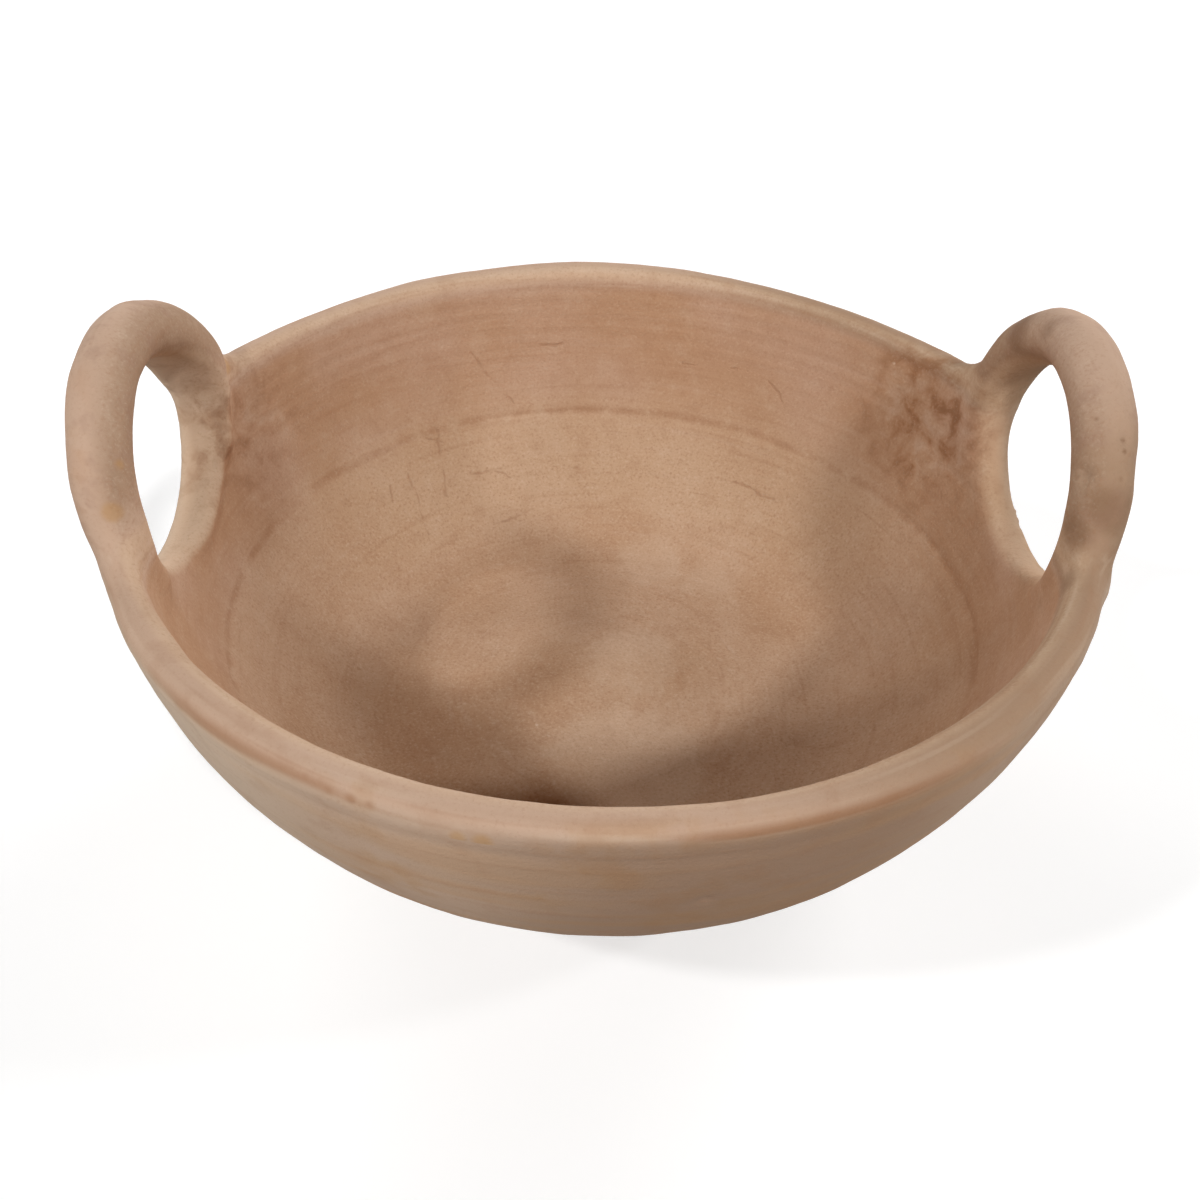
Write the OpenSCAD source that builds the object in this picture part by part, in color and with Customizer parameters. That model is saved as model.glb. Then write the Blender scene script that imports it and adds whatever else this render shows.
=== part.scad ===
// Two-handled bowl of hand-built, unglazed earthenware.
// Millimetres. The origin is the middle of the flat base, where the bowl stands; +Z is up.
// The handles stand on the -X and +X sides, and -Y is the front.

/* [Bowl] */
// Outside diameter at the rim
rim_d = 270; // [220:1:330]
// Height of the rim above the base
bowl_h = 106; // [90:1:127]
// Diameter of the flat base
base_d = 158; // [130:1:185]
// Thickness of the wall
wall_t = 10; // [8:0.5:12]
// Thickness of the floor
floor_t = 11; // [9:0.5:14]
// Height of the joint between the lower bowl and the band above it
seam_h = 53; // [44:1:60]

/* [Rim] */
// Diameter of the roll that finishes the edge
roll_d = 9.5; // [8:0.5:11.5]
// Depth of the roll's flat underside below its middle
roll_seat = 2; // [1:0.25:3]

/* [Handles] */
// Diameter of the handle coil
coil_d = 16; // [13:0.5:19.5]
// Diameter of the round opening under the coil
opening_d = 64; // [53:1:77]
// Depth of the opening's middle below the rim
opening_drop = 5; // [3:0.5:8]
// Lean of the handles outwards, in degrees
lean = 4; // [0:1:10]
// Turn of each coil end below the opening's middle, in degrees
coil_tail = 27; // [20:1:33]

/* [Wads] */
// Thickness of the clay pressed over each foot of a coil
wad_t = 4; // [3:0.25:5]

/* [Hidden] */
$fn = 96;

left = -1;
right = 1;
front = -1;
back = 1;

clay_dark = "#9d775b";
clay_mid = "#b38b6d";
clay_pale = "#c4a38c";
clay_smear = "#8e6549";

// The roll's middle line, and the level of the seat under it
roll_r = (rim_d - roll_d) / 2;
roll_z = bowl_h - roll_d / 2;
seat_z = roll_z - roll_seat;

// The wall is a shell between two balls that share a middle.
// The outer one runs through the edge of the base and, at the level of the roll's middle,
// stands half a wall outside the roll's middle line.
edge_r = roll_r + wall_t / 2;
base_r = base_d / 2;
ball_z = (edge_r * edge_r + roll_z * roll_z - base_r * base_r) / (2 * roll_z);
ball_r = norm([base_r, ball_z]);

// A coil lands where its middle line meets the middle of the wall.
opening_z = bowl_h - opening_drop;
ring_r = (opening_d + coil_d) / 2;
wall_mid_r = sqrt(pow(ball_r - wall_t / 2, 2) - pow(ball_z - opening_z, 2));
handle_x = sqrt(wall_mid_r * wall_mid_r - ring_r * ring_r);
wad_r = coil_d / 2 + wad_t;

// Across an opening the wall bows out by less than the ring's radius, so cuts this deep go through it
cut_reach = ring_r + wall_t;

// Cutting shapes reach this far, past every piece
reach = rim_d;

// Whole level slice of space between two heights
module slice(low, high) {
    translate([-reach, -reach, low]) cube([2 * reach, 2 * reach, high - low]);
}

// Half of space on the front or the back side
module half_space(end) {
    translate([-reach, end == front ? -2 * reach : 0, -reach]) cube([2 * reach, 2 * reach, 3 * reach]);
}

module ball(radius) {
    translate([0, 0, ball_z]) sphere(r = radius);
}

// The band of wall above the joint, before the openings are cut
module whole_band() {
    difference() {
        intersection() {
            ball(ball_r);
            slice(seam_h, seat_z);
        }
        ball(ball_r - wall_t);
    }
}

// The roll, before the openings are cut
module whole_roll() {
    rotate_extrude() {
        intersection() {
            translate([roll_r, roll_z]) circle(d = roll_d);
            translate([0, seat_z]) square([reach, roll_d]);
        }
    }
}

// Children are set at a handle's opening, with the ring of the coil in their YZ plane
module at_handle(side) {
    mirror([side == left ? 1 : 0, 0, 0]) {
        translate([handle_x, 0, opening_z]) rotate([0, lean, 0]) children();
    }
}

// The handle's coil: an arch whose ends run down into the wall
module coil() {
    rotate([0, 90, 0]) {
        rotate_extrude(angle = 180 + 2 * coil_tail, start = 90 - coil_tail) {
            translate([ring_r, 0]) circle(d = coil_d);
        }
    }
}

// The round opening, square to the wall and right through it
module opening() {
    rotate([0, 90, 0]) cylinder(d = opening_d, h = 2 * cut_reach, center = true);
}

// The bed of a coil: the coil itself, and all that lies inside its middle line
module coil_bed() {
    rotate([0, 90, 0]) {
        rotate_extrude(angle = 180 + 2 * coil_tail, start = 90 - coil_tail) {
            translate([ring_r, 0]) circle(d = coil_d);
            translate([0, -cut_reach]) square([ring_r, 2 * cut_reach]);
        }
    }
}

// What both handles take out of the wall and the roll
module handle_cuts() {
    for (side = [left, right]) {
        at_handle(side) {
            coil_bed();
            opening();
        }
    }
}

module lower_bowl() {
    color(clay_dark) difference() {
        intersection() {
            ball(ball_r);
            slice(0, seam_h);
        }
        intersection() {
            ball(ball_r - wall_t);
            slice(floor_t, bowl_h);
        }
    }
}

module upper_wall() {
    color(clay_mid) difference() {
        whole_band();
        handle_cuts();
    }
}

module rim_roll(end) {
    color(clay_pale) intersection() {
        difference() {
            whole_roll();
            handle_cuts();
        }
        half_space(end);
    }
}

module handle(side) {
    color(clay_pale) at_handle(side) coil();
}

// A wad sits over the rim, outside a foot of the coil, and is moulded to all that it touches
module wad(side, end) {
    color(clay_smear) difference() {
        at_handle(side) translate([0, end * ring_r, 0]) sphere(r = wad_r);
        whole_band();
        whole_roll();
        at_handle(side) coil_bed();
    }
}

lower_bowl();
upper_wall();
rim_roll(front);  // front_rim_roll
rim_roll(back);  // back_rim_roll
handle(left);  // left_handle
wad(left, front);  // left_front_wad
wad(left, back);  // left_back_wad
handle(right);  // right_handle
wad(right, front);  // right_front_wad
wad(right, back);  // right_back_wad
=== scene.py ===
# %% [markdown]
# # A hand-built earthenware bowl
# This lesson models a wide, unglazed bowl with an arched handle on each side.
# A potter makes it from separate pieces of soft clay: a pressed lower bowl, a band for the upper wall,
# rolls for the edge, coils for the handles, and wads of clay thumbed over the coils' feet.
# The engineering model already holds those pieces at their real size and place, so it is loaded first,
# and the bowl's main sizes are read from it.

# %% Load the engineering model
import math
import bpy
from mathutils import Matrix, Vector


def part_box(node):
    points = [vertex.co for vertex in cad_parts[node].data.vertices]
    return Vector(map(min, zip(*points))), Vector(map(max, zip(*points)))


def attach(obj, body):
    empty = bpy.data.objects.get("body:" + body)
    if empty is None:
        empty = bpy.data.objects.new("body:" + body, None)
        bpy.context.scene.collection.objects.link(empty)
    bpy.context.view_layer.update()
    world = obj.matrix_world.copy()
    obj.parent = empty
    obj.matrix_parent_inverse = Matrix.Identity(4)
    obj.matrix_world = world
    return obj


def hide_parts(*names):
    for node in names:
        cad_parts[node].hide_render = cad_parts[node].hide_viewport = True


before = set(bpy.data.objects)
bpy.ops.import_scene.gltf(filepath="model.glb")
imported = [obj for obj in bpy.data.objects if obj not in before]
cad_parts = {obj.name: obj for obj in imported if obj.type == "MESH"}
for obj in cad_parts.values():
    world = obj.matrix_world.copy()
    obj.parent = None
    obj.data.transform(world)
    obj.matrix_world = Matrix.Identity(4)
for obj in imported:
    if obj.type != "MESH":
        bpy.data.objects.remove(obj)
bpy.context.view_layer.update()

from types import SimpleNamespace

import bpy
import numpy as np
from mathutils import Matrix, Vector

MM = 0.001
print("pieces in the model:", sorted(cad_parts))

# %% [markdown]
# ## Sizes
# The model's boxes give the levels and radii. A few sizes that a box can't show, such as the thickness
# of the wall, are written here once. Everything is in metres, as Blender works in metres.

# %% Sizes of the bowl
roll_low, roll_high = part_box("front_rim_roll")
seam_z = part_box("lower_bowl")[1].z
rim_z = roll_high.z
seat_z = roll_low.z
rim_r = -roll_low.y

wall_t = 10 * MM
floor_t = 11 * MM
base_r = 79 * MM
lip_d = 9.5 * MM

lip_r = rim_r - lip_d / 2
lip_z = rim_z - lip_d / 2
edge_r = lip_r + wall_t / 2
ball_z = (edge_r**2 + lip_z**2 - base_r**2) / (2 * lip_z)
ball_r = math.hypot(base_r, ball_z)
print(f"rim {2000 * rim_r:.0f} mm across and {1000 * rim_z:.0f} mm high, ball radius {1000 * ball_r:.1f} mm")

# %% [markdown]
# ## The bowl's profile
# A bowl could be made from a sphere with its top cut off, but then the soft turn from wall to floor and
# the rounded edge would need extra work. It is easier to draw half of its section, point by point, and
# spin it about the upright axis. The outside is an arc of one ball, the edge is half an oval, and inside
# the wall runs into the floor in a soft turn, because fingers can't press a sharp corner.

# %% Half of the section
floor_turn = 6 * MM
base_steps, wall_steps, lip_steps, inner_steps = 8, 40, 16, 60
crowding = 0.8  # sets the inner points closer together near the wall


def inner_height(radius):
    wall = ball_z - math.sqrt((ball_r - wall_t) ** 2 - radius**2)
    return (wall + floor_t + math.hypot(wall - floor_t, floor_turn)) / 2


section = [(0.0, 0.0)]
for step in range(1, base_steps + 1):
    section.append((base_r * step / base_steps, 0.0))
top_angle = math.asin((lip_z - ball_z) / ball_r)
base_angle = math.asin(-ball_z / ball_r)
for step in range(1, wall_steps):
    turn = base_angle + (top_angle - base_angle) * step / wall_steps
    section.append((ball_r * math.cos(turn), ball_z + ball_r * math.sin(turn)))
for step in range(lip_steps + 1):
    turn = math.pi * step / lip_steps
    section.append((lip_r + wall_t / 2 * math.cos(turn), lip_z + lip_d / 2 * math.sin(turn)))
inner_top = lip_r - wall_t / 2
for step in range(1, inner_steps):
    radius = inner_top * math.sin(math.pi / 2 * (1 - step / inner_steps)) ** crowding
    section.append((radius, min(inner_height(radius), lip_z)))
section.append((0.0, inner_height(0.0)))
print("points in the section:", len(section))

# %% Draw the section by extruding one point, then spin it
spin_steps = 240
weld = 0.02 * MM
bpy.ops.object.select_all(action="DESELECT")
bpy.ops.mesh.primitive_plane_add(size=MM)
clay = bpy.context.object
clay.name = "clay"
bpy.ops.object.mode_set(mode="EDIT")
bpy.ops.mesh.select_all(action="SELECT")
bpy.ops.mesh.merge(type="CENTER")
for (r0, z0), (r1, z1) in zip(section, section[1:]):
    bpy.ops.mesh.extrude_region_move(TRANSFORM_OT_translate={"value": (r1 - r0, 0, z1 - z0)})
bpy.ops.mesh.select_all(action="SELECT")
bpy.ops.mesh.spin(steps=spin_steps, angle=2 * math.pi, center=(0, 0, 0), axis=(0, 0, 1))
bpy.ops.mesh.select_all(action="SELECT")
bpy.ops.mesh.remove_doubles(threshold=weld)
bpy.ops.mesh.normals_make_consistent(inside=False)
bpy.ops.object.mode_set(mode="OBJECT")
print("spun bowl:", len(clay.data.polygons), "faces")

# %% [markdown]
# ## Handles, wads and openings
# Each handle is a coil bent to an arch, and no two coils bent by hand come out alike, so each has its own
# sizes here. A torus would do for an even ring, but these coils are a little oval and thicker towards the
# back foot, so each starts as a circle curve with a round bevel, whose points can be thick or thin.
# Towards both feet a coil is pinched down to about the thickness of the wall that it runs into.
# The lower part of the ring is cut away, which leaves an arch whose two tails sit inside the wall.

# %% Sizes of each handle, in millimetres, degrees and shares
# The ring and the opening have a half width and a half height, and the opening's middle lies a rise above
# the ring's. The coil has a half thickness. The swell is the share that it gains at the back, and the foot
# is the share that it keeps at its feet.
sides = {"left": -1, "right": 1}
ends = {"front": -1, "back": 1}
handles = {
    "left": {"middle": (122.1, 0.5, 102.0), "lean": 6.1, "ring": (40.4, 36.8), "coil": 8.3,
             "opening": (33.7, 27.4), "rise": 1.2, "swell": 0.36, "foot": 0.66, "wad": 6.2},
    "right": {"middle": (122.7, 2.0, 99.6), "lean": 5.0, "ring": (40.5, 39.8), "coil": 7.7,
              "opening": (34.6, 27.5), "rise": 2.2, "swell": 0.10, "foot": 0.78, "wad": 7.2},
}
coil_tail = math.radians(27)
swell_at = math.radians(32)
swell_reach = math.radians(42)
pinch_from, pinch_reach = -0.4, 0.6
print("handles:", list(handles))

# %% [markdown]
# Operators act on whatever is selected, so one helper clears the selection and picks a single object. Another
# writes an object's place, turn and size into its mesh, so that every piece stays at the origin.

# %% Picking an object, and setting it at its handle
def pick(piece):
    if bpy.context.object and bpy.context.object.mode != "OBJECT":
        bpy.ops.object.mode_set(mode="OBJECT")
    bpy.ops.object.select_all(action="DESELECT")
    piece.select_set(True)
    bpy.context.view_layer.objects.active = piece


def settle(piece):
    pick(piece)
    bpy.ops.object.transform_apply(location=True, rotation=True, scale=True)
    return piece


def at_handle(name):
    x, y, z = handles[name]["middle"]
    turn = Matrix.Rotation(sides[name] * math.radians(handles[name]["lean"]), 4, "Y")
    return Matrix.Translation(Vector((sides[name] * x, y, z)) * MM) @ turn


def place(piece, name):
    piece.matrix_world = at_handle(name) @ piece.matrix_world
    return settle(piece)


# %% The coil of a handle
def new_coil(name, share=1.0, tail=coil_tail):
    size = handles[name]
    wide, tall = (half * MM for half in size["ring"])
    bpy.ops.object.select_all(action="DESELECT")
    bpy.ops.curve.primitive_bezier_circle_add(radius=wide)
    ring = bpy.context.object
    bpy.ops.object.mode_set(mode="EDIT")
    bpy.ops.curve.select_all(action="SELECT")
    bpy.ops.curve.subdivide(number_cuts=5)
    bpy.ops.transform.resize(value=(1, tall / wide, 1))
    bpy.ops.object.mode_set(mode="OBJECT")
    ring.data.dimensions = "3D"
    ring.data.bevel_depth = share * size["coil"] * MM
    ring.data.bevel_resolution = 10
    for point in ring.data.splines[0].bezier_points:
        away = abs(math.atan2(point.co.y / tall, point.co.x / wide) - swell_at) / swell_reach
        thick = 1 + size["swell"] * max(0, 1 - away**2) ** 2
        rise = min(1, max(0, (point.co.y / tall - pinch_from) / pinch_reach))
        point.radius = thick * (size["foot"] + (1 - size["foot"]) * rise * rise * (3 - 2 * rise))
    bpy.ops.object.convert(target="MESH")
    coil = bpy.context.object
    coil.rotation_euler = (math.pi / 2, 0, math.pi / 2)
    settle(coil)
    bpy.ops.object.mode_set(mode="EDIT")
    bpy.ops.mesh.select_all(action="SELECT")
    bpy.ops.mesh.remove_doubles(threshold=weld)
    bpy.ops.mesh.bisect(plane_co=(0, 0, -tall * math.sin(tail)), plane_no=(0, 0, 1),
                        clear_inner=True, use_fill=True)
    bpy.ops.mesh.select_all(action="SELECT")
    bpy.ops.mesh.normals_make_consistent(inside=False)
    return place(coil, name)


# %% [markdown]
# Wads of clay go over the feet, and all of it is joined with the bowl by a Boolean modifier. A helper adds a
# modifier, sets its options and applies it at once, as a modeller does by hand.

# %% Coils and wads, joined in
wad_stretch = (0.9, 1.7, 1.15)
wad_shift = Vector((-0.5, 4.0, -0.5)) * MM


def foot_place(name, end):
    wide = handles[name]["ring"][0] * MM
    return at_handle(name) @ Vector((sides[name] * wad_shift.x, end * (wide + wad_shift.y), wad_shift.z))


def new_wad(name, end):
    bpy.ops.object.select_all(action="DESELECT")
    bpy.ops.mesh.primitive_uv_sphere_add(radius=handles[name]["wad"] * MM, segments=48, ring_count=24,
                                         scale=wad_stretch)
    wad = bpy.context.object
    wad.location = foot_place(name, end)
    return settle(wad)


def shape_with(piece, kind, **options):
    pick(piece)
    step = piece.modifiers.new(kind.lower(), kind)
    for name, value in options.items():
        setattr(step, name, value)
    bpy.ops.object.modifier_apply(modifier=step.name)
    return piece


def remove(piece):
    mesh = piece.data
    bpy.data.objects.remove(piece)
    bpy.data.meshes.remove(mesh)


def join_in(piece, tool, how):
    shape_with(piece, "BOOLEAN", operation=how, object=tool, solver="MANIFOLD")
    remove(tool)


for name in handles:
    join_in(clay, new_coil(name), "UNION")
    for end in ends.values():
        join_in(clay, new_wad(name, end), "UNION")
    print(name, "handle is on:", len(clay.data.polygons), "faces")

# %% [markdown]
# ## Smoothing the joints
# The pieces still meet in sharp corners, where a thumb would have left a soft hollow. A voxel remesh turns
# the clay into one even skin. Growing that skin outwards closes the corners, and after a second remesh
# shrinking it by as much brings the rest back to its place, so only the corners stay filled.

# %% Even skin, then filled corners
grain = 1.25 * MM
fill_r = 14 * MM
shape_with(clay, "REMESH", mode="VOXEL", voxel_size=grain)
shape_with(clay, "DISPLACE", strength=fill_r, mid_level=0)
shape_with(clay, "REMESH", mode="VOXEL", voxel_size=grain)
shape_with(clay, "DISPLACE", strength=-fill_r, mid_level=0)
print("even skin:", len(clay.data.polygons), "faces")

# %% [markdown]
# The openings come last: an oval bar is taken out of wall and coil alike, because a potter pares the opening
# clean after the coil is on, and that leaves a flat band all round its inside. Then the skin is made even
# again.

# %% Openings
bar_length = 90 * MM


def new_bar(name):
    wide, tall = (half * MM for half in handles[name]["opening"])
    bpy.ops.object.select_all(action="DESELECT")
    bpy.ops.mesh.primitive_cylinder_add(radius=1, depth=bar_length, vertices=128,
                                        rotation=(0, math.pi / 2, 0))
    bar = settle(bpy.context.object)
    bar.scale = (1, wide, tall)
    bar.location.z = handles[name]["rise"] * MM
    return place(settle(bar), name)


for name in handles:
    join_in(clay, new_bar(name), "DIFFERENCE")
shape_with(clay, "REMESH", mode="VOXEL", voxel_size=grain)
print("openings cut:", len(clay.data.polygons), "faces")

# %% [markdown]
# The skin is smoothed, a little everywhere and more round the feet of the handles and along the edges of the
# openings. A vertex group limits the stronger smoothing to those places. Its weights are worked out from the
# points' places, fade softly towards its limits, and are given out in steps.

# %% Places of the points, and masks
def points(piece):
    flat = np.empty(len(piece.data.vertices) * 3)
    piece.data.vertices.foreach_get("co", flat)
    return flat.reshape(-1, 3)


def mask_group(piece, name, weights, levels=120):
    group = piece.vertex_groups.new(name=name)
    steps = np.rint(np.clip(weights, 0, 1) * levels).astype(int)
    for level in range(1, levels + 1):
        chosen = np.nonzero(steps == level)[0]
        if len(chosen):
            group.add(chosen.tolist(), level / levels, "REPLACE")
    return name


def fade(distance, near, far):
    t = np.clip((far - distance) / (far - near), 0, 1)
    return t * t * (3 - 2 * t)


# %% The last smoothing, near the feet and the openings
foot_near, foot_far = 12 * MM, 26 * MM
edge_near, edge_far = 1.5 * MM, 5 * MM


def near_feet(places):
    feet = [np.array(foot_place(name, end)) for name in handles for end in ends.values()]
    return np.min([np.linalg.norm(places - foot, axis=1) for foot in feet], axis=0)


def off_opening(places):
    off = []
    for name, size in handles.items():
        wide, tall = (half * MM for half in size["opening"])
        back = np.array(at_handle(name).inverted())
        local = places @ back[:3, :3].T + back[:3, 3]
        ring = np.hypot(local[:, 1] / wide, (local[:, 2] - size["rise"] * MM) / tall)
        off.append(np.abs(ring - 1) * (wide + tall) / 2)
    return np.min(off, axis=0)


where = points(clay)
soft_feet = mask_group(clay, "soft_feet", fade(near_feet(where), foot_near, foot_far))
soft_edges = mask_group(clay, "soft_edges", fade(off_opening(where), edge_near, edge_far))
shape_with(clay, "SMOOTH", factor=0.5, iterations=14, vertex_group=soft_feet)
shape_with(clay, "SMOOTH", factor=0.5, iterations=48, vertex_group=soft_edges)
shape_with(clay, "SMOOTH", factor=0.5, iterations=10)
print("joints smoothed at", len(handles) * len(ends), "feet")

# %% [markdown]
# ## A bowl that isn't quite round
# Hand-built clay is never true. The rim dips a little beside the handles at the back and rises between them,
# the wall bulges at the front left, and the left opening has a thicker border towards the back.
# A mask says where the clay moves, and a Displace modifier says how far.
# This is what a soft brush does in sculpting, and here it can be repeated exactly.

# %% Dips and a rise of the rim: turn and reach in degrees, and lift in millimetres
rim_waves = {"dip_right": (48, 30, -1.7), "dip_left": (136, 24, -1.0), "rise_back": (92, 34, 0.6)}


def press(piece, name, weights, depth, direction="NORMAL"):
    mask_group(piece, name, weights)
    shape_with(piece, "DISPLACE", strength=depth, mid_level=0, vertex_group=name, direction=direction)


def turn_of(places):
    return np.degrees(np.arctan2(places[:, 1], places[:, 0])) % 360


def hump(values, middle, reach):
    away = np.abs(values - middle) / reach
    return np.clip(1 - away * away, 0, 1) ** 2


where = points(clay)
upper = fade(-where[:, 2], -0.9 * rim_z, -0.4 * rim_z)
for name, (middle, reach, lift) in rim_waves.items():
    press(clay, name, upper * hump(turn_of(where), middle, reach), lift * MM, "Z")
print("rim moved by", np.ptp(points(clay)[:, 2] - where[:, 2]).round(5), "m")

# %% The bulge at the front left, and the thicker border of the left opening
to_ball = np.linalg.norm(where - (0, 0, ball_z), axis=1)
outside = to_ball > ball_r - wall_t / 2
front_left = hump(turn_of(where), 237, 60) * hump(where[:, 2], 48 * MM, 46 * MM)
press(clay, "bulge", front_left * outside, 0.9 * MM)

inner_side = fade(to_ball, ball_r - 0.9 * wall_t, ball_r - 0.3 * wall_t)
left_back = (where[:, 0] < 0) * fade(-where[:, 1], -8 * MM, 8 * MM) * fade(where[:, 2], rim_z, 1.2 * rim_z)
border = fade(off_opening(where), 2 * MM, 11 * MM)
press(clay, "left_border", inner_side * left_back * border, 2.6 * MM, "X")
print("wall moved by up to", np.abs(points(clay) - where)[:, :2].max().round(5), "m")

# %% [markdown]
# ## The marks of the hands
# Now come the marks that working leaves in soft clay. Clouds textures in a Displace modifier make the skin
# gently uneven. The joint between lower bowl and upper wall stays as a shallow line on the inside, wiping
# leaves level ridges under the rim, and the roll stands a little proud of the wall outside.
# The base is left out of all this, because it was pressed flat on a board.

# %% Uneven skin
def uneven(piece, name, size, depth, mask):
    clouds = bpy.data.textures.new(name, "CLOUDS")
    clouds.noise_scale = size
    shape_with(piece, "DISPLACE", texture=clouds, texture_coords="LOCAL", strength=depth, mid_level=0.5,
               vertex_group=mask)


where = points(clay)
off_base = mask_group(clay, "off_base", fade(-where[:, 2], -6 * MM, -1 * MM))
uneven(clay, "palm", 46 * MM, 1.1 * MM, off_base)
uneven(clay, "finger", 15 * MM, 0.45 * MM, off_base)
print("skin moved by up to", np.abs(points(clay) - where).max().round(5), "m")

# %% The joint line, the wiped ridges and the groove under the roll
where = points(clay)
turn = np.radians(turn_of(where))
height = where[:, 2]
to_ball = np.linalg.norm(where - (0, 0, ball_z), axis=1)
inside = to_ball < ball_r - wall_t / 2
far_from_feet = 1 - fade(near_feet(where), 14 * MM, 24 * MM)

joint_z = seam_z + (1.0 + 0.7 * np.sin(3 * turn + 0.4) + 0.4 * np.sin(7 * turn + 2.0)) * MM
joint_line = hump(height, joint_z, 2.6 * MM) * (0.65 + 0.35 * np.sin(4 * turn + 1.2))
press(clay, "joint_line", joint_line * inside, -0.4 * MM)

ridge_pitch = 5.4 * MM
waver = 1.4 * np.sin(2 * turn) + 0.9 * np.sin(5 * turn + 1.0)
ridges = 0.5 + 0.5 * np.sin(2 * math.pi * height / ridge_pitch + waver)
under_rim = fade(-height, -88 * MM, -66 * MM) * fade(height, 98 * MM, 104 * MM)
press(clay, "wiped_ridges", ridges * under_rim * inside * far_from_feet, -0.18 * MM)

roll_groove = hump(height, 96.0 * MM, 3.2 * MM) * (0.7 + 0.3 * np.sin(6 * turn))
press(clay, "roll_groove", roll_groove * ~inside * far_from_feet, -0.25 * MM)
print("marked:", [group.name for group in clay.vertex_groups])

# %% [markdown]
# Round the back feet the wads were smeared out over the wall with a thumb, so the clay there is rougher.
# A few knocks and pits on the handles, the edge and the wall are pressed in one by one.

# %% Smeared clay, knocks and pits: place in millimetres, reach and depth
smears = [(109, 56, 86), (-113, 44, 88)]
knocks = [
    ((118.2, -34.5, 124.5), 3.6, 1.0), ((127.4, -31.3, 133.2), 2.6, 0.7), ((125.8, -37.7, 126.1), 2.2, 0.5),
    ((120.8, -26.3, 135.8), 2.0, 0.4), ((-118.3, -25.4, 135.4), 2.2, 0.5), ((-112.0, -54.0, 99.0), 3.0, 0.4),
    ((-108.2, -65.3, 104.0), 2.8, 0.4), ((-100.5, -78.8, 105.2), 3.6, 0.35),
    ((-129.4, 34.9, 104.8), 3.0, 0.9), ((67.0, 88.9, 52.3), 2.4, 0.5), ((-35.4, 94.0, 35.2), 2.4, 0.5),
    ((93.2, 14.3, 27.9), 2.6, 0.5), ((97.0, -28.1, 36.1), 3.4, 0.6), ((91.0, -48.0, 38.5), 3.4, 0.6),
    ((20.7, -129.6, 75.9), 2.8, 0.8),
]


def near_places(places, spots):
    return np.min([np.linalg.norm(places - np.array(spot) * MM, axis=1) for spot in spots], axis=0)


where = points(clay)
smeared = mask_group(clay, "smeared", fade(near_places(where, smears), 8 * MM, 32 * MM))
uneven(clay, "thumb", 7 * MM, 1.0 * MM, smeared)
for index, (spot, reach, depth) in enumerate(knocks):
    near = np.linalg.norm(where - np.array(spot) * MM, axis=1)
    press(clay, f"knock_{index}", hump(near, 0, reach * MM), -depth * MM)
print("smears:", len(smears), "knocks:", len(knocks))

# %% [markdown]
# Handling has also pulled the whole bowl oval: about three parts in a hundred longer across one diagonal.
# The clay is turned until that diagonal lies along X, stretched there, and turned back. The three steps are
# applied one by one, because an object can't hold a slanted stretch.

# %% Stretch the clay along one diagonal
oval_turn = math.radians(18.6)
oval = 0.0314


def pull_oval(piece):
    piece.rotation_euler.z = oval_turn
    settle(piece)
    piece.scale = (1 + oval, 1 - oval, 1)
    settle(piece)
    piece.rotation_euler.z = -oval_turn
    return settle(piece)


pull_oval(clay)
print(f"pulled oval: {100 * oval:.1f} parts in a hundred")

# %% [markdown]
# ## Ten pieces again
# The clay was joined so that its surface runs on without a break, but the bowl is an assembly, so it is now
# cut into the pieces that the model holds. Each piece is taken out of what is left with a simple solid: a
# slab for the lower bowl, a ball for each wad, a block with a core for each handle, and slabs for the rolls.
# The core is the coil's own heart: it leaves the handle with two tails that run through the wads.
# What is left in the end is the upper wall.

# %% Take the pieces out one by one
wad_reach = 17.5 * MM
core_share = 0.7
core_tail = math.radians(19)
far = 0.3
handle_from = 90 * MM
handle_low = rim_z - 1 * MM
handle_spare = 8


def new_block(low, high):
    low, high = Vector(low), Vector(high)
    bpy.ops.object.select_all(action="DESELECT")
    bpy.ops.mesh.primitive_cube_add(size=1, location=(low + high) / 2, scale=high - low)
    return settle(bpy.context.object)


def new_ball(place_at):
    bpy.ops.object.select_all(action="DESELECT")
    bpy.ops.mesh.primitive_uv_sphere_add(radius=wad_reach, segments=64, ring_count=32, location=place_at)
    return settle(bpy.context.object)


pieces = {}


def take(name, tool):
    piece = clay.copy()
    piece.data = clay.data.copy()
    piece.name = piece.data.name = name + "_clay"
    bpy.context.scene.collection.objects.link(piece)
    shape_with(piece, "BOOLEAN", operation="INTERSECT", object=tool, solver="MANIFOLD")
    join_in(clay, tool, "DIFFERENCE")
    pieces[name] = piece


take("lower_bowl", new_block((-far, -far, 0), (far, far, seam_z)))
for name, side in sides.items():
    for end_name, end in ends.items():
        ball = new_ball(foot_place(name, end))
        join_in(ball, new_coil(name, core_share, core_tail), "DIFFERENCE")
        take(f"{name}_{end_name}_wad", pull_oval(ball))
    wide = (handles[name]["ring"][0] + handles[name]["coil"] + handle_spare) * MM
    inner, outer = sorted((side * handle_from, side * far))
    block = new_block((inner, -wide, handle_low), (outer, wide, far))
    join_in(block, new_coil(name, core_share, core_tail), "UNION")
    take(f"{name}_handle", pull_oval(block))
take("front_rim_roll", new_block((-far, -far, seat_z), (far, 0, far)))
take("back_rim_roll", new_block((-far, 0, seat_z), (far, far, far)))
clay.name = clay.data.name = "upper_wall_clay"
pieces["upper_wall"] = clay
print("pieces:", list(pieces))

# %% [markdown]
# Where two cutting solids share a surface, crumbs thinner than a hair can be left over. Each piece is taken
# apart into its loose shells and only the largest is kept. The flat underside needs no fine mesh, so its
# level faces are melted into one.

# %% Drop the crumbs, thin out the base and smooth the shading
level_within = math.radians(0.1)
smooth_under = math.radians(50)


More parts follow.
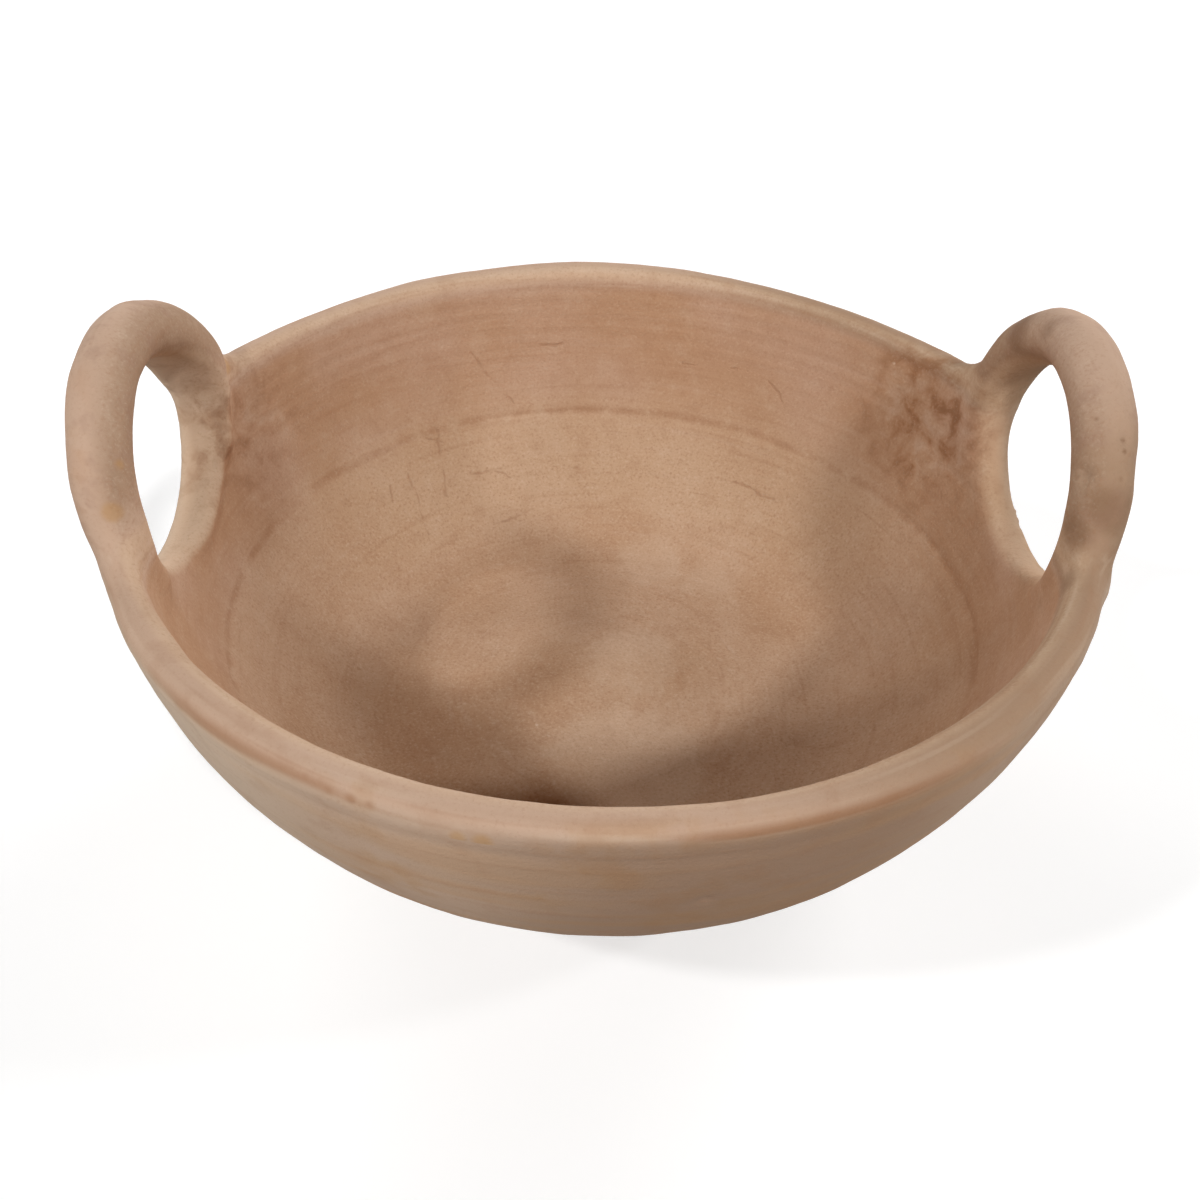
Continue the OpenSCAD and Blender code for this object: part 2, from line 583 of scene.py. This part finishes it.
def whole_piece(piece):
    pick(piece)
    bpy.ops.object.mode_set(mode="EDIT")
    bpy.ops.mesh.select_all(action="SELECT")
    bpy.ops.mesh.separate(type="LOOSE")
    bpy.ops.object.mode_set(mode="OBJECT")
    shells = sorted(bpy.context.selected_objects, key=lambda shell: len(shell.data.vertices))
    for crumb in shells[:-1]:
        remove(crumb)
    return shells[-1]


for name in list(pieces):
    piece = pieces[name] = whole_piece(pieces[name])
    piece.name = piece.data.name = name + "_clay"
    piece.vertex_groups.clear()
    if name == "lower_bowl":
        shape_with(piece, "DECIMATE", decimate_type="DISSOLVE", angle_limit=level_within)
    pick(piece)
    bpy.ops.object.shade_smooth_by_angle(angle=smooth_under)
    print(f"{name}: {sum(len(face.vertices) - 2 for face in piece.data.polygons)} triangles")

# %% [markdown]
# ## The clay's finish
# Unglazed earthenware is clay fired without a glassy coat. Its open, grainy skin scatters the light, so the
# eye sees no shine, only soft shading and a colour that is never even: orange inside, paler and pinker where
# wet hands smoothed the edge and the handles, dusty and streaked outside.
# Each piece could have its own colours, but they would break at the joints. All of this depends on where a
# point lies on the bowl, so the material reads the object's own coordinates, undoes the oval pull, and works
# in millimetres from there. One recipe serves every piece, so the colour runs on across the joints.

# %% Colours
def linear(hex_code):
    parts = [int(hex_code[i:i + 2], 16) / 255 for i in (1, 3, 5)]
    return [part / 12.92 if part <= 0.04045 else ((part + 0.055) / 1.055) ** 2.4 for part in parts] + [1.0]


warm, rosy, pale, dusty, mauve, tan = "#b89172", "#bf9b81", "#c9ab95", "#bfa691", "#a78b7d", "#a08166"
ochre, rust, chalk, umber, buff = "#b88a50", "#9a6a47", "#e2cdb6", "#7a583d", "#cfb091"
print("the clay itself:", warm)

# %% A helper that adds a node with its settings and links
def output(node):
    return next(socket for socket in node.outputs if socket.enabled)


def add(tree, kind, *inputs, **settings):
    node = tree.nodes.new("ShaderNode" + kind)
    for name, value in settings.items():
        setattr(node, name, value)
    sockets = [socket for socket in node.inputs if socket.enabled]
    for socket, value in zip(sockets, inputs):
        if isinstance(value, bpy.types.Node):
            value = output(value)
        if isinstance(value, bpy.types.NodeSocket):
            tree.links.new(value, socket)
        elif value is not None:
            socket.default_value = value
    return node


# %% [markdown]
# The recipe starts from measures of a place: its height, its distance from the upright axis and from the
# middle of the ball, and how far it faces a few directions. Then come noises of three sizes, and streaks.
# Streaks run round the bowl, because it was wiped by a wet hand that went round it. They come from a noise
# that is stretched round the axis. To do that without a join, the noise is read in four dimensions: the
# direction from the axis, the height and the radius.

# %% Measures of a place, in millimetres
mean_r = 115  # about the middle of the wall
# The front right and far left directions place painted shade and painted light outside, and the back one
# painted light inside
directions = {"back": (0, 1, 0), "front": (-0.12, -0.99, 0), "front_right": (0.23, -0.97, 0),
              "far_left": (-0.87, -0.5, 0)}


def measure(tree):
    raw = add(tree, "TexCoord").outputs["Object"]
    turned = add(tree, "Mapping", raw, None, (0, 0, oval_turn))
    rounder = (1 / (MM * (1 + oval)), 1 / (MM * (1 - oval)), 1 / MM)
    here = add(tree, "Mapping", turned, None, (0, 0, -oval_turn), rounder)
    axes = add(tree, "SeparateXYZ", here)
    flat = add(tree, "VectorMath", here, (1, 1, 0), operation="MULTIPLY")
    to_ball = add(tree, "VectorMath", here, (0, 0, ball_z / MM), operation="DISTANCE")
    at = SimpleNamespace(here=here, sideways=axes.outputs["X"], height=axes.outputs["Z"])
    at.radius = add(tree, "VectorMath", flat, operation="LENGTH")
    at.heading = add(tree, "VectorMath", flat, operation="NORMALIZE")
    at.inside, at.outside = (to_ball, 130, 127), (to_ball, 129, 133.5)
    for name, direction in directions.items():
        setattr(at, name, add(tree, "VectorMath", at.heading, direction, operation="DOT_PRODUCT"))
    return at


# %% Patterns: blotches of two sizes, grit, and streaks by their length and width, in millimetres
broad_size, middle_size = 42, 8
grit_size = 0.9  # real grit is about a third of this, too fine to show, so it is drawn coarser
wiped_size, band_size = (50, 2.0), (60, 8.0)


def streaks(at, length, width):
    tree = at.here.id_data
    along = add(tree, "VectorMath", at.heading, mean_r / length, operation="SCALE")
    level = add(tree, "Math", at.height, width, operation="DIVIDE")
    ring = add(tree, "VectorMath", along, add(tree, "CombineXYZ", 0.0, 0.0, level), operation="ADD")
    inward = add(tree, "Math", at.radius, width, operation="DIVIDE")
    return add(tree, "TexNoise", ring, inward, 1.0, 1.0, 0.55, noise_dimensions="4D")


def add_patterns(at):
    tree = at.here.id_data
    at.broad = add(tree, "TexNoise", at.here, 1 / broad_size, 1.0, 0.55)
    at.middle = add(tree, "TexNoise", at.here, 1 / middle_size, 3.0, 0.55)
    at.grit = add(tree, "TexNoise", at.here, 1 / grit_size, 2.0, 0.65)
    at.wiped = streaks(at, *wiped_size)
    at.bands = streaks(at, *band_size)


# %% [markdown]
# The colour is laid on in coats, from large to small. A coat has a shade, a strength, and limits: each limit
# is a measure, the value at which the coat starts to show and the value at which it is full.
# Masks could be painted by hand instead, but limits can be read and changed one by one.

# %% Coats of colour
def coats(colour, *layers):
    for shade, strength, *limits in layers:
        tree = limits[0][0].id_data
        amount, most = None, strength
        for value, start, full in limits:
            share = add(tree, "MapRange", value, start, full, 0.0, most, interpolation_type="SMOOTHSTEP")
            amount = share if amount is None else add(tree, "Math", amount, share, operation="MULTIPLY")
            most = 1.0
        colour = add(tree, "Mix", amount, colour, linear(shade), data_type="RGBA")
    return colour


# %% Inside, edge and handles: buff low down, partly painted light, buff at the back as painted light, pale on the edge, and tan as painted shade on its right side and inside the left handle
def clay_edge_and_painted_light(at):
    inside, height, sideways = at.inside, at.height, at.sideways
    return coats(
        linear(warm),
        (rosy, 1.0, (at.broad, 0.35, 0.65)),
        # Paler clay below the joint, partly real and partly painted light that brightens the lit lower bowl
        (buff, 0.4, inside, (height, 62, 46), (at.broad, 0.1, 0.6)),
        # Painted light: the back of the lower wall, where the front lamps fall, is made paler with buff
        (buff, 0.5, inside, (height, 80, 36), (height, 12, 30), (at.back, 0.2, 0.7)),
        (pale, 0.75, (height, 97, 102)),
        # Painted shade: the right side of the edge and the right handle, turned away from the left lamp, are
        # darkened with tan
        (tan, 0.85, (sideways, 10, 85), (height, 97, 102), (height, 148, 126)),
        # Painted shade: the inner side of the left handle's arch, turned away from the left lamp, is darkened
        # with tan
        (tan, 0.75, (sideways, -126, -117), (sideways, -90, -104), (height, 108, 124)),
        (buff, 0.5, (height, 100, 104), (height, 112, 108), (at.radius, 130.5, 127)),
    )


# %% Outside: dusty, with ochre in it, with painted shade in umber at the front right and painted light in chalk at the far left
def outside_dust_and_painted_light(at, colour):
    outside, height = at.outside, at.height
    return coats(
        colour,
        (dusty, 0.65, outside, (height, 105, 101)),
        (rosy, 0.5, outside, (at.bands, 0.5, 0.68)),
        (ochre, 0.2, outside, (at.broad, 0.5, 0.62), (at.middle, 0.4, 0.6)),
        # Painted shade: the front right of the outside, which the lamps barely reach, is darkened with umber
        (umber, 0.56, outside, (height, 104.5, 101), (at.front_right, 0.86, 1.0)),
        (ochre, 0.16, outside, (height, 104, 100), (at.bands, 0.4, 0.62)),
        # Painted light: the far left of the outside, where the low left lamps fall, is made paler with chalk
        (chalk, 0.65, outside, (height, 104, 99), (at.far_left, 0.8, 1.0)),
    )


# %% Streaks outside, on the lip and inside, and blotches on the handles
def wiped_streaks(at, colour):
    lip = ((at.height, 98, 101), (at.height, 112, 107))
    return coats(
        colour,
        (rust, 0.1, at.outside, (at.wiped, 0.52, 0.72)),
        (chalk, 0.12, *lip, (at.wiped, 0.46, 0.3)),
        (rust, 0.1, *lip, (at.wiped, 0.52, 0.7)),
        (mauve, 0.22, (at.height, 106, 116), (at.middle, 0.5, 0.68)),
        (rust, 0.16, at.inside, (at.wiped, 0.52, 0.78)),
        (pale, 0.16, at.inside, (at.wiped, 0.46, 0.25)),
    )


# %% [markdown]
# Next come the traces of the making: the pared band round the openings, yellower than the rest and made paler
# at the left opening as painted light, the joint as a line of darker clay inside, dashes of it under the
# front edge, and the smears at the back feet.

# %% Traces of the making, and painted light on the left opening's band
opening_middle = (0, 1.2, 102.5)  # of both openings together, seen from the side
opening_half = (34, 27.5)
smear_strengths = (0.7, 0.35)


def making_traces_and_painted_light(at, colour):
    tree, height = at.here.id_data, at.height
    apart = add(tree, "VectorMath", at.here, opening_middle, operation="SUBTRACT")
    oblong = add(tree, "VectorMath", apart, (0, *(1 / half for half in opening_half)), operation="MULTIPLY")
    pared = (add(tree, "VectorMath", oblong, operation="LENGTH"), 1.14, 1.04)
    drift = add(tree, "Math", at.broad, 3.0, height, operation="MULTIPLY_ADD")
    colour = coats(
        colour,
        (buff, 0.5, pared),
        # Painted light: the pared band of the left opening, which the lamps light, is made paler with chalk
        (chalk, 0.3, pared, (at.sideways, -90, -110)),
        (rust, 0.1, pared, (at.middle, 0.5, 0.66)),
        (rust, 0.32, at.inside, (drift, 53.4, 55.4), (drift, 57.8, 55.8), (at.middle, 0.3, 0.6)),
        (rust, 0.55, at.outside, (at.front, 0.7, 0.85), (height, 100, 102), (height, 105, 103),
         (at.bands, 0.48, 0.6)),
    )
    swirl = add(tree, "TexNoise", at.here, 1 / middle_size, 3.0, 0.6, 2.0, 0.45)
    for spot, strength in zip(smears, smear_strengths):
        near = (add(tree, "VectorMath", at.here, spot, operation="DISTANCE"), 36, 12)
        colour = coats(
            colour,
            (rust, strength, near, (swirl, 0.42, 0.64)),
            (umber, strength / 2, near, (swirl, 0.56, 0.68)),
            (pale, 0.4, near, (swirl, 0.46, 0.3)),
        )
    return colour


# %% [markdown]
# Blotches and grit cover everything, in the colour and in the relief. The relief is a bump of about a tenth
# of a millimetre, too small to be worth modelling, and it breaks up the light on the smooth mesh.

# %% Blotches and grit
grit_relief, wiped_relief, middle_relief = 0.15, 0.12, 0.14


def blotches_and_grit(at, colour):
    inside, low = at.inside, (at.height, 70, 30)
    return coats(
        colour,
        (rust, 0.13, (at.middle, 0.5, 0.7)),
        (chalk, 0.08, inside, (at.middle, 0.48, 0.3)),
        (rust, 0.16, (at.grit, 0.52, 0.78)),
        (chalk, 0.16, inside, (at.grit, 0.47, 0.24)),
        (rust, 0.12, inside, (at.grit, 0.5, 0.7)),
        (chalk, 0.14, inside, low, (at.grit, 0.47, 0.3)),
        (rust, 0.14, inside, low, (at.grit, 0.53, 0.7)),
    )


def skin_relief(at):
    tree = at.here.id_data
    relief = add(tree, "Math", at.grit, grit_relief, operation="MULTIPLY")
    relief = add(tree, "Math", at.wiped, wiped_relief, relief, operation="MULTIPLY_ADD")
    return add(tree, "Math", at.middle, middle_relief, relief, operation="MULTIPLY_ADD")


# %% [markdown]
# Small marks are written as lists: a scratch by the turn round the bowl in degrees and the height in
# millimetres of both its ends, a stain by its place and size in millimetres. A scratch is drawn by the
# distance from a line, and the blotches make that line waver. A stain is drawn by the distance from its
# middle.

# %% Scratches inside
scratches = [
    (112, 78, 105, 58), (58, 74, 54, 67), (74, 73, 62, 75), (121, 54, 124, 33), (130, 44, 132, 25),
    (97, 35, 91, 34), (59, 37, 49, 37), (100, 78, 95, 78), (135, 43, 136, 38), (117, 38, 113, 36),
    (112, 36, 109, 34), (116, 21, 105, 23), (124, 53, 121, 50),
]
sway = Vector((5, 5, 5))
groove_depth = 0.14


def on_wall(turn, height):
    radius = math.sqrt((ball_r - wall_t) ** 2 - (height * MM - ball_z) ** 2) / MM
    return Vector((radius * math.cos(math.radians(turn)), radius * math.sin(math.radians(turn)), height))


def nearest(distances):
    best = distances[0]
    for distance in distances[1:]:
        best = add(best.id_data, "Math", best, distance, operation="MINIMUM")
    return best


def scratched(at, colour, relief):
    tree = at.here.id_data
    wavy = add(tree, "VectorMath", at.middle.outputs["Color"], sway, at.here, operation="MULTIPLY_ADD")
    lines = []
    for turn_0, height_0, turn_1, height_1 in scratches:
        start = on_wall(turn_0, height_0) + sway / 2
        run = on_wall(turn_1, height_1) + sway / 2 - start
        apart = add(tree, "VectorMath", wavy, start, operation="SUBTRACT")
        share = add(tree, "VectorMath", apart, run / run.length_squared, operation="DOT_PRODUCT")
        along = add(tree, "VectorMath", run, add(tree, "Clamp", share), operation="SCALE")
        lines.append(add(tree, "VectorMath", apart, along, operation="DISTANCE"))
    line = add(tree, "Math", at.grit, 1.0, nearest(lines), operation="MULTIPLY_ADD")
    groove = add(tree, "MapRange", line, 1.3, 0.6, 0.0, groove_depth, interpolation_type="SMOOTHSTEP")
    relief = add(tree, "Math", relief, groove, operation="SUBTRACT")
    return coats(colour, (rust, 0.36, (line, 1.25, 0.55))), relief


# %% Stains: soft for a patch, with a ragged edge from the blotches, and hard for a speck; the floor's pale patches are partly painted light
# The pale patches on the floor are partly real stains and partly painted light: the largest, at the front,
# brightens the floor where it is lit between shadows
pale_stains_and_painted_light = [((20, 68, 15), 12), ((43, 57, 15), 9), ((12, 14, 11), 16), ((8, -34, 11), 24)]
pale_specks = [((-20, -18, 11), 0.5), ((-16, -23, 11), 0.3), ((-3, -28, 11), 0.4), ((100, 75, 96), 0.5)]
dark_specks = [((16, -45, 11), 0.3), ((-27, 10, 11), 0.2), ((26, -40, 11), 0.4)]
ochre_spots = [
    ((-120, -44, 117), 2.4), ((-118, -36, 126), 1.2), ((-115, 49, 107), 2.4),
    ((-30, -132, 100), 1.8), ((-25, -133, 100), 2.2),
]
rust_spots = [
    ((124, -42, 119), 6.0), ((117, -42, 112), 5.0), ((112, -50, 104), 4.0), ((119, 28, 133), 6.0),
    ((118, 12, 143), 3.0),
]
knock_holes = [
    ((118, -34, 124.5), 0.9), ((117.5, -33, 123), 0.6), ((127, -31, 133), 0.8), ((127, -33, 131), 0.6),
    ((126, -38, 126), 0.7), ((121, -26, 136), 0.4), ((-118, -25, 135), 0.4),
]
dashes = [
    ((-62, -120, 104.5), 0.8), ((-57, -123, 103), 1.0), ((-52, -125, 103), 1.2), ((-48, -126.5, 103), 1.0),
]


def stained(at, colour, stains):
    tree = at.here.id_data
    for spots, softness, shade, strength in stains:
        away = [add(tree, "VectorMath", at.here, spot, operation="DISTANCE") for spot, size in spots]
        past = [add(tree, "Math", off, size, operation="SUBTRACT") for off, (spot, size) in zip(away, spots)]
        rough = at.middle if softness > 1 else at.grit
        ragged = add(tree, "Math", rough, softness, nearest(past), operation="MULTIPLY_ADD")
        colour = coats(colour, (shade, strength, (ragged, softness, 0.0)))
    return colour


specks = pale_specks + dark_specks + knock_holes
print("marks:", len(scratches), "scratches,", len(specks), "specks and pits")

# %% [markdown]
# All the steps together make the material. Fired clay is rough and reflects little, so the roughness is high
# and the specular level low. The bowl has the scratches, and the bowl and the rolls have their own stains,
# each kind with its softness in millimetres, its shade and its strength; the bowl's pale patches are partly
# painted light.

# %% Unglazed earthenware, wiped on the bowl, smoothed on the rolls and thumbed on the wads
clay_roughness = 0.92
clay_specular = 0.25


def earthenware(name, stains, has_scratches=False):
    material = bpy.data.materials.new(name)
    material.use_nodes = True
    tree = material.node_tree
    surface = tree.nodes["Principled BSDF"]
    surface.inputs["Roughness"].default_value = clay_roughness
    surface.inputs["Specular IOR Level"].default_value = clay_specular
    at = measure(tree)
    add_patterns(at)
    colour = wiped_streaks(at, outside_dust_and_painted_light(at, clay_edge_and_painted_light(at)))
    colour = blotches_and_grit(at, making_traces_and_painted_light(at, colour))
    relief = skin_relief(at)
    if has_scratches:
        colour, relief = scratched(at, colour, relief)
    colour = stained(at, colour, stains)
    bump = add(tree, "Bump", 1.0, MM, None, relief)
    tree.links.new(output(colour), surface.inputs["Base Color"])
    tree.links.new(output(bump), surface.inputs["Normal"])
    return material


bowl_stains_and_painted_light = [
    (pale_stains_and_painted_light, 8.0, chalk, 0.16), (pale_specks, 0.8, chalk, 0.7), (dark_specks, 0.8, umber, 0.5),
]
roll_stains = [
    (ochre_spots, 2.0, ochre, 0.45), (rust_spots, 6.0, umber, 0.5), (knock_holes, 1.0, umber, 0.6),
    (dashes, 2.0, rust, 0.6),
]
finishes = {
    "bowl_clay": earthenware("earthenware_wiped_bowl", bowl_stains_and_painted_light, has_scratches=True),
    "rolled_clay": earthenware("earthenware_smoothed_rolls", roll_stains),
    "smeared_clay": earthenware("earthenware_thumbed_wads", roll_stains),
}
for name, finish in finishes.items():
    print(name, "has", len(finish.node_tree.nodes), "nodes")

# %% [markdown]
# ## Handing the pieces over
# Each piece of clay stands for one part of the engineering model, rides with it and takes its slot's finish.

# %% Slots and finishes
slots = {"lower_bowl": "bowl_clay", "upper_wall": "bowl_clay"}
for name, piece in pieces.items():
    slot = slots.get(name, "smeared_clay" if name.endswith("_wad") else "rolled_clay")
    piece.data.materials.clear()
    piece.data.materials.append(finishes[slot])
    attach(piece, "root")
    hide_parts(name)
print("pieces handed over:", len(pieces))

# %% [markdown]
# ## The studio
# The bowl stands on a pale floor. Four narrow lamps stand at the left, the front, the front right and the
# right, and the left one shines through the left handle's opening. Broad low ones from the front, the left
# and behind fill the shadows. A lamp's direction is given by the compass turn it shines from and by its
# height above the floor, both in degrees.
# The camera sees the floor almost white, but to the clay the floor is a dull grey, so that little light
# comes back from below.

# %% Floor, a hair below the base so that the two faces don't fight
floor_size = 8
floor_gap = 0.2 * MM
floor_glow = 0.35
bpy.ops.object.select_all(action="DESELECT")
bpy.ops.mesh.primitive_plane_add(size=floor_size, location=(0, 0, -floor_gap))
floor = bpy.context.object
floor.name = "floor"
paper = bpy.data.materials.new("white_paper")
paper.use_nodes = True
sheet = paper.node_tree
sheet.nodes.remove(sheet.nodes["Principled BSDF"])
seen = add(sheet, "LightPath")
straight = add(sheet, "Math", seen.outputs["Is Camera Ray"], seen.outputs["Is Glossy Ray"], operation="ADD")
straight = add(sheet, "Math", straight, seen.outputs["Is Transmission Ray"], operation="ADD", use_clamp=True)
lit = add(sheet, "BsdfDiffuse", linear("#e8e8e8"))
glow = add(sheet, "Emission", linear("#ffffff"), floor_glow)
bright = add(sheet, "AddShader", lit, glow)
dull = add(sheet, "BsdfDiffuse", linear("#7c7c7c"))
both = add(sheet, "MixShader", straight, dull, bright)
sheet.links.new(both.outputs[0], sheet.nodes["Material Output"].inputs["Surface"])
floor.data.materials.append(paper)
print("floor:", floor_size, "m across")

# %% Lamps: turn, height, width in degrees, and strength
lamps = {
    "left_lamp": (199, 44, 5, 0.8),
    "main_lamp": (298, 46, 5, 1.12),
    "front_lamp": (262, 43, 5, 0.7),
    "right_lamp": (0, 31, 5, 0.42),
    "front_fill": (265, 6, 28, 1.0),
    "left_fill": (195, 2, 20, 0.25),
    "back_left_fill": (120, 15, 28, 1.2),
    "back_right_fill": (50, 15, 28, 1.9),
}
for name, (turn, up, width, strength) in lamps.items():
    sun = bpy.data.lights.new(name, "SUN")
    sun.energy = strength
    sun.angle = math.radians(width)
    lamp = bpy.data.objects.new(name, sun)
    lamp.rotation_euler = (math.pi / 2 - math.radians(up), 0, math.radians(turn) + math.pi / 2)
    bpy.context.scene.collection.objects.link(lamp)
print("lamps:", list(lamps))

# %% Air: white to the camera, and almost dark to the clay
air_light = 0.01
world = bpy.data.worlds.new("studio")
bpy.context.scene.world = world
world.use_nodes = True
air = world.node_tree
seen = add(air, "LightPath")
level = add(air, "MapRange", seen.outputs["Is Camera Ray"], 0.0, 1.0, air_light, 1.0)
air.links.new(level.outputs[0], air.nodes["Background"].inputs["Strength"])
air.nodes["Background"].inputs["Color"].default_value = linear("#ffffff")
print("light from the air:", air_light)

# %% [markdown]
# ## The camera
# The camera looks down at the bowl from the front. Its place and lens were worked out from the oval of the
# rim and from how fast the bowl gets smaller towards the back.

# %% Camera
look_down = math.radians(41.42)
eye = Vector((0.743, -263.483, 283.805)) * MM
lens_px = 1101.4
picture_px = 1200
sensor = 36.0

camera_data = bpy.data.cameras.new("camera")
camera_data.sensor_width = sensor
camera_data.lens = lens_px / picture_px * sensor
camera_data.clip_start = 0.01
camera = bpy.data.objects.new("camera", camera_data)
camera.location = eye
camera.rotation_euler = (math.pi / 2 - look_down, 0, 0)
bpy.context.scene.collection.objects.link(camera)
bpy.context.scene.camera = camera
bpy.context.scene.view_settings.view_transform = "Standard"
print(f"lens {camera_data.lens:.1f} mm")
